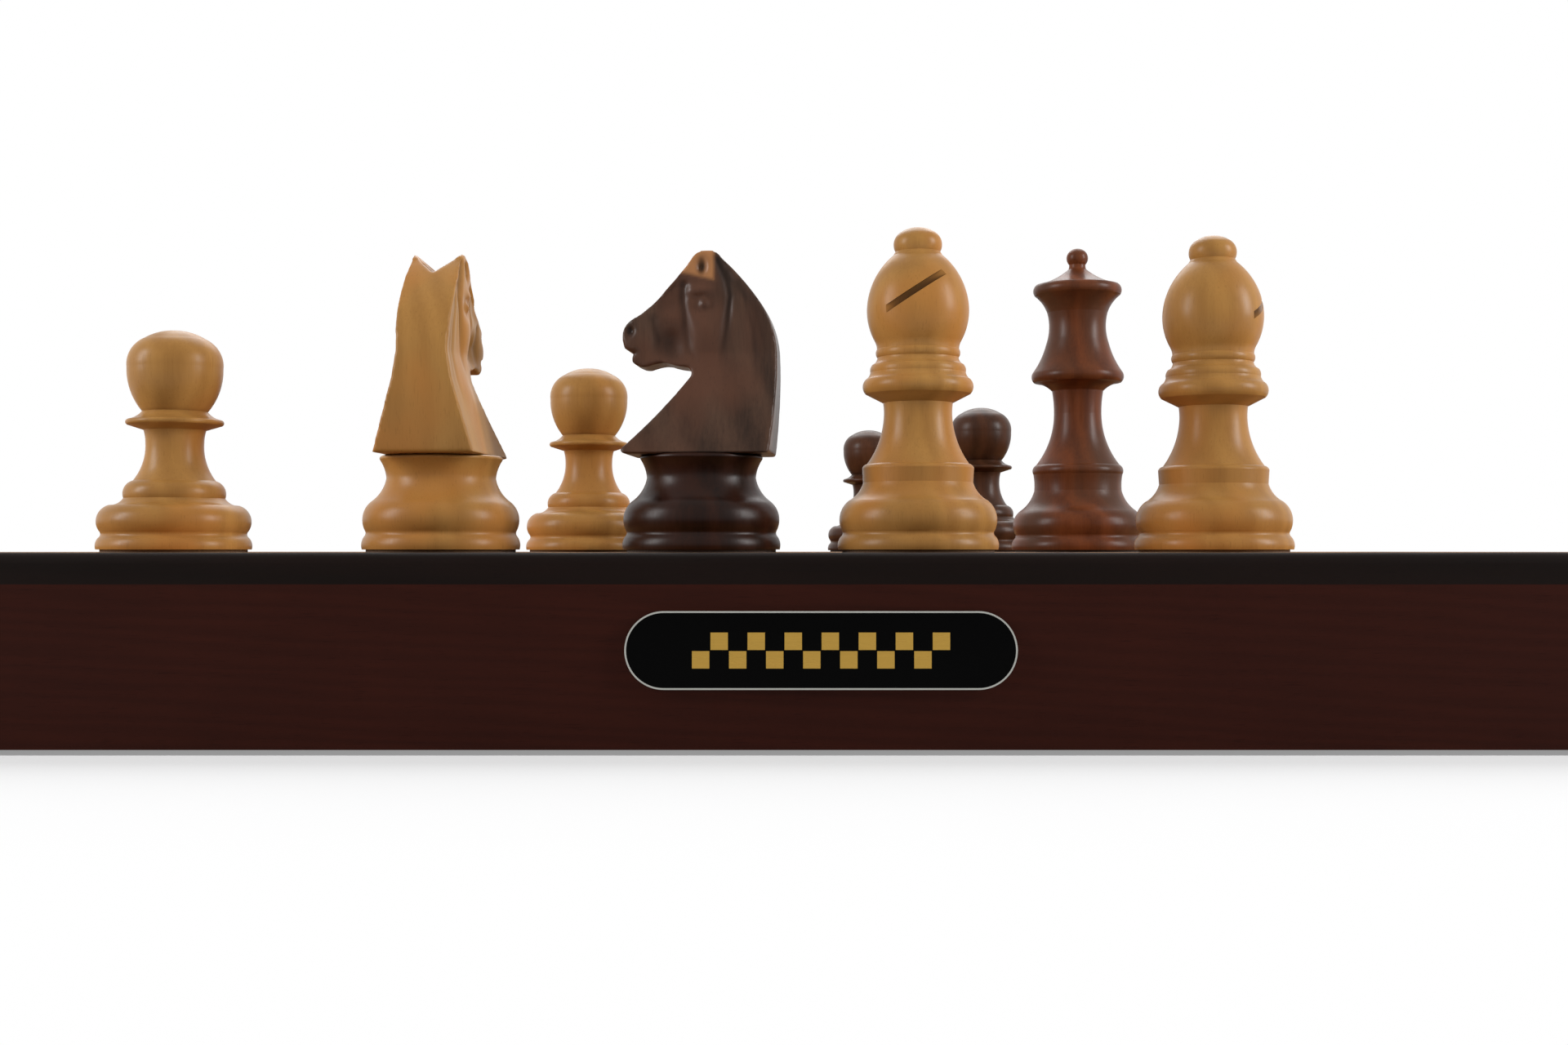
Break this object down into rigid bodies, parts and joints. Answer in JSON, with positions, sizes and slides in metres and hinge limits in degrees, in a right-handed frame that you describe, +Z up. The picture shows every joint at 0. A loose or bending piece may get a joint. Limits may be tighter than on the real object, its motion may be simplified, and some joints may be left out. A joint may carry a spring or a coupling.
{
  "type": "electronic chess computer",
  "caption": "Framed wooden sensing chess board with a front nameplate, a bordered field of squares, an inlaid key panel with display, and turned and carved pieces standing on it.",
  "frame": {"origin": "middle of the board's outline, on the surface its felt feet stand on", "axes": "+Z up, +Y away from the player and the nameplate, +X to the player's right"},
  "size_m": [0.52, 0.5228, 0.1167],
  "materials": {
    "rail_wood": "satin lacquer, reddish brown",
    "border_wood": "satin lacquer, near black",
    "raw_wood": "planed, unfinished",
    "base_fibreboard": "matt painted",
    "light_veneer": "satin lacquer",
    "dark_veneer": "satin lacquer",
    "stringing_wood": "satin lacquer",
    "light_piece": "satin lacquer",
    "dark_piece": "satin lacquer",
    "felt": "matt felt",
    "screw_steel": "zinc plated",
    "standoff_brass": "turned",
    "plate_metal": "polished",
    "plate_enamel": "gloss",
    "panel_metal": "fine matt",
    "window_glass": "clear",
    "display": "grey-green",
    "key_plastic": "fine matt",
    "light_pipe": "clear red",
    "circuit": "solder mask",
    "port_plastic": "fine matt",
    "ribbon": "flat grey",
    "speaker_plastic": "black",
    "coil": "wound wire and steel slug"
  },
  "bodies": {
    "board": {"front_rail": "rail_wood", "back_rail": "rail_wood", "left_rail": "rail_wood", "right_rail": "rail_wood", "glue_blocks": "raw_wood", "base_panel": "base_fibreboard", "base_screws": "screw_steel", "felt_feet": "felt", "top_board": "border_wood", "light_squares": "light_veneer", "dark_squares": "dark_veneer", "field_stringing": "stringing_wood", "light_pipes": "light_pipe", "nameplate_rim": "plate_metal", "nameplate_face": "plate_enamel", "key_panel": "panel_metal", "display_window": "window_glass", "display_module": "display", "key_circuit": "circuit", "sensor_board": "circuit", "main_board": "circuit", "port_plate": "port_plastic", "ribbon_cables": "ribbon", "board_screws": "screw_steel", "standoffs": "standoff_brass", "loudspeaker": "speaker_plastic"},
    "power_switch": {"power_slider": "port_plastic"},
    "back_key": {"back_key": "key_plastic"},
    "left_key": {"left_key": "key_plastic"},
    "right_key": {"right_key": "key_plastic"},
    "up_key": {"up_key": "key_plastic"},
    "enter_key": {"enter_key": "key_plastic"},
    "light_pawn_left": {"light_pawn_left": "light_piece", "light_pawn_left_felt": "felt", "light_pawn_left_coil": "coil"},
    "light_knight": {"light_knight": "light_piece", "light_knight_felt": "felt", "light_knight_coil": "coil"},
    "light_pawn_back": {"light_pawn_back": "light_piece", "light_pawn_back_felt": "felt", "light_pawn_back_coil": "coil"},
    "dark_knight": {"dark_knight": "dark_piece", "dark_knight_felt": "felt", "dark_knight_coil": "coil"},
    "light_bishop_left": {"light_bishop_left": "light_piece", "light_bishop_left_felt": "felt", "light_bishop_left_coil": "coil"},
    "dark_pawn_far": {"dark_pawn_far": "dark_piece", "dark_pawn_far_felt": "felt", "dark_pawn_far_coil": "coil"},
    "dark_pawn_near": {"dark_pawn_near": "dark_piece", "dark_pawn_near_felt": "felt", "dark_pawn_near_coil": "coil"},
    "dark_queen": {"dark_queen": "dark_piece", "dark_queen_felt": "felt", "dark_queen_coil": "coil"},
    "light_bishop_right": {"light_bishop_right": "light_piece", "light_bishop_right_felt": "felt", "light_bishop_right_coil": "coil"}
  },
  "joints": [
    {"name": "power_slide", "type": "slide", "parent": "board", "child": "power_switch", "axis": [1, 0, 0], "range_m": [0, 0.004]},
    {"name": "back_key_press", "type": "slide", "parent": "board", "child": "back_key", "axis": [0, 0, -1], "range_m": [0, 0.001], "stiffness_N_per_m": 400, "springref_m": -0.001},
    {"name": "left_key_press", "type": "slide", "parent": "board", "child": "left_key", "axis": [0, 0, -1], "range_m": [0, 0.001], "stiffness_N_per_m": 400, "springref_m": -0.001},
    {"name": "right_key_press", "type": "slide", "parent": "board", "child": "right_key", "axis": [0, 0, -1], "range_m": [0, 0.001], "stiffness_N_per_m": 400, "springref_m": -0.001},
    {"name": "up_key_press", "type": "slide", "parent": "board", "child": "up_key", "axis": [0, 0, -1], "range_m": [0, 0.001], "stiffness_N_per_m": 400, "springref_m": -0.001},
    {"name": "enter_key_press", "type": "slide", "parent": "board", "child": "enter_key", "axis": [0, 0, -1], "range_m": [0, 0.001], "stiffness_N_per_m": 400, "springref_m": -0.001},
    {"name": "light_pawn_left_lift", "type": "slide", "parent": "board", "child": "light_pawn_left", "axis": [0, 0, 1], "range_m": [0, 0.12]},
    {"name": "light_knight_lift", "type": "slide", "parent": "board", "child": "light_knight", "axis": [0, 0, 1], "range_m": [0, 0.12]},
    {"name": "light_pawn_back_lift", "type": "slide", "parent": "board", "child": "light_pawn_back", "axis": [0, 0, 1], "range_m": [0, 0.12]},
    {"name": "dark_knight_lift", "type": "slide", "parent": "board", "child": "dark_knight", "axis": [0, 0, 1], "range_m": [0, 0.12]},
    {"name": "light_bishop_left_lift", "type": "slide", "parent": "board", "child": "light_bishop_left", "axis": [0, 0, 1], "range_m": [0, 0.12]},
    {"name": "dark_pawn_far_lift", "type": "slide", "parent": "board", "child": "dark_pawn_far", "axis": [0, 0, 1], "range_m": [0, 0.12]},
    {"name": "dark_pawn_near_lift", "type": "slide", "parent": "board", "child": "dark_pawn_near", "axis": [0, 0, 1], "range_m": [0, 0.12]},
    {"name": "dark_queen_lift", "type": "slide", "parent": "board", "child": "dark_queen", "axis": [0, 0, 1], "range_m": [0, 0.12]},
    {"name": "light_bishop_right_lift", "type": "slide", "parent": "board", "child": "light_bishop_right", "axis": [0, 0, 1], "range_m": [0, 0.12]}
  ]
}
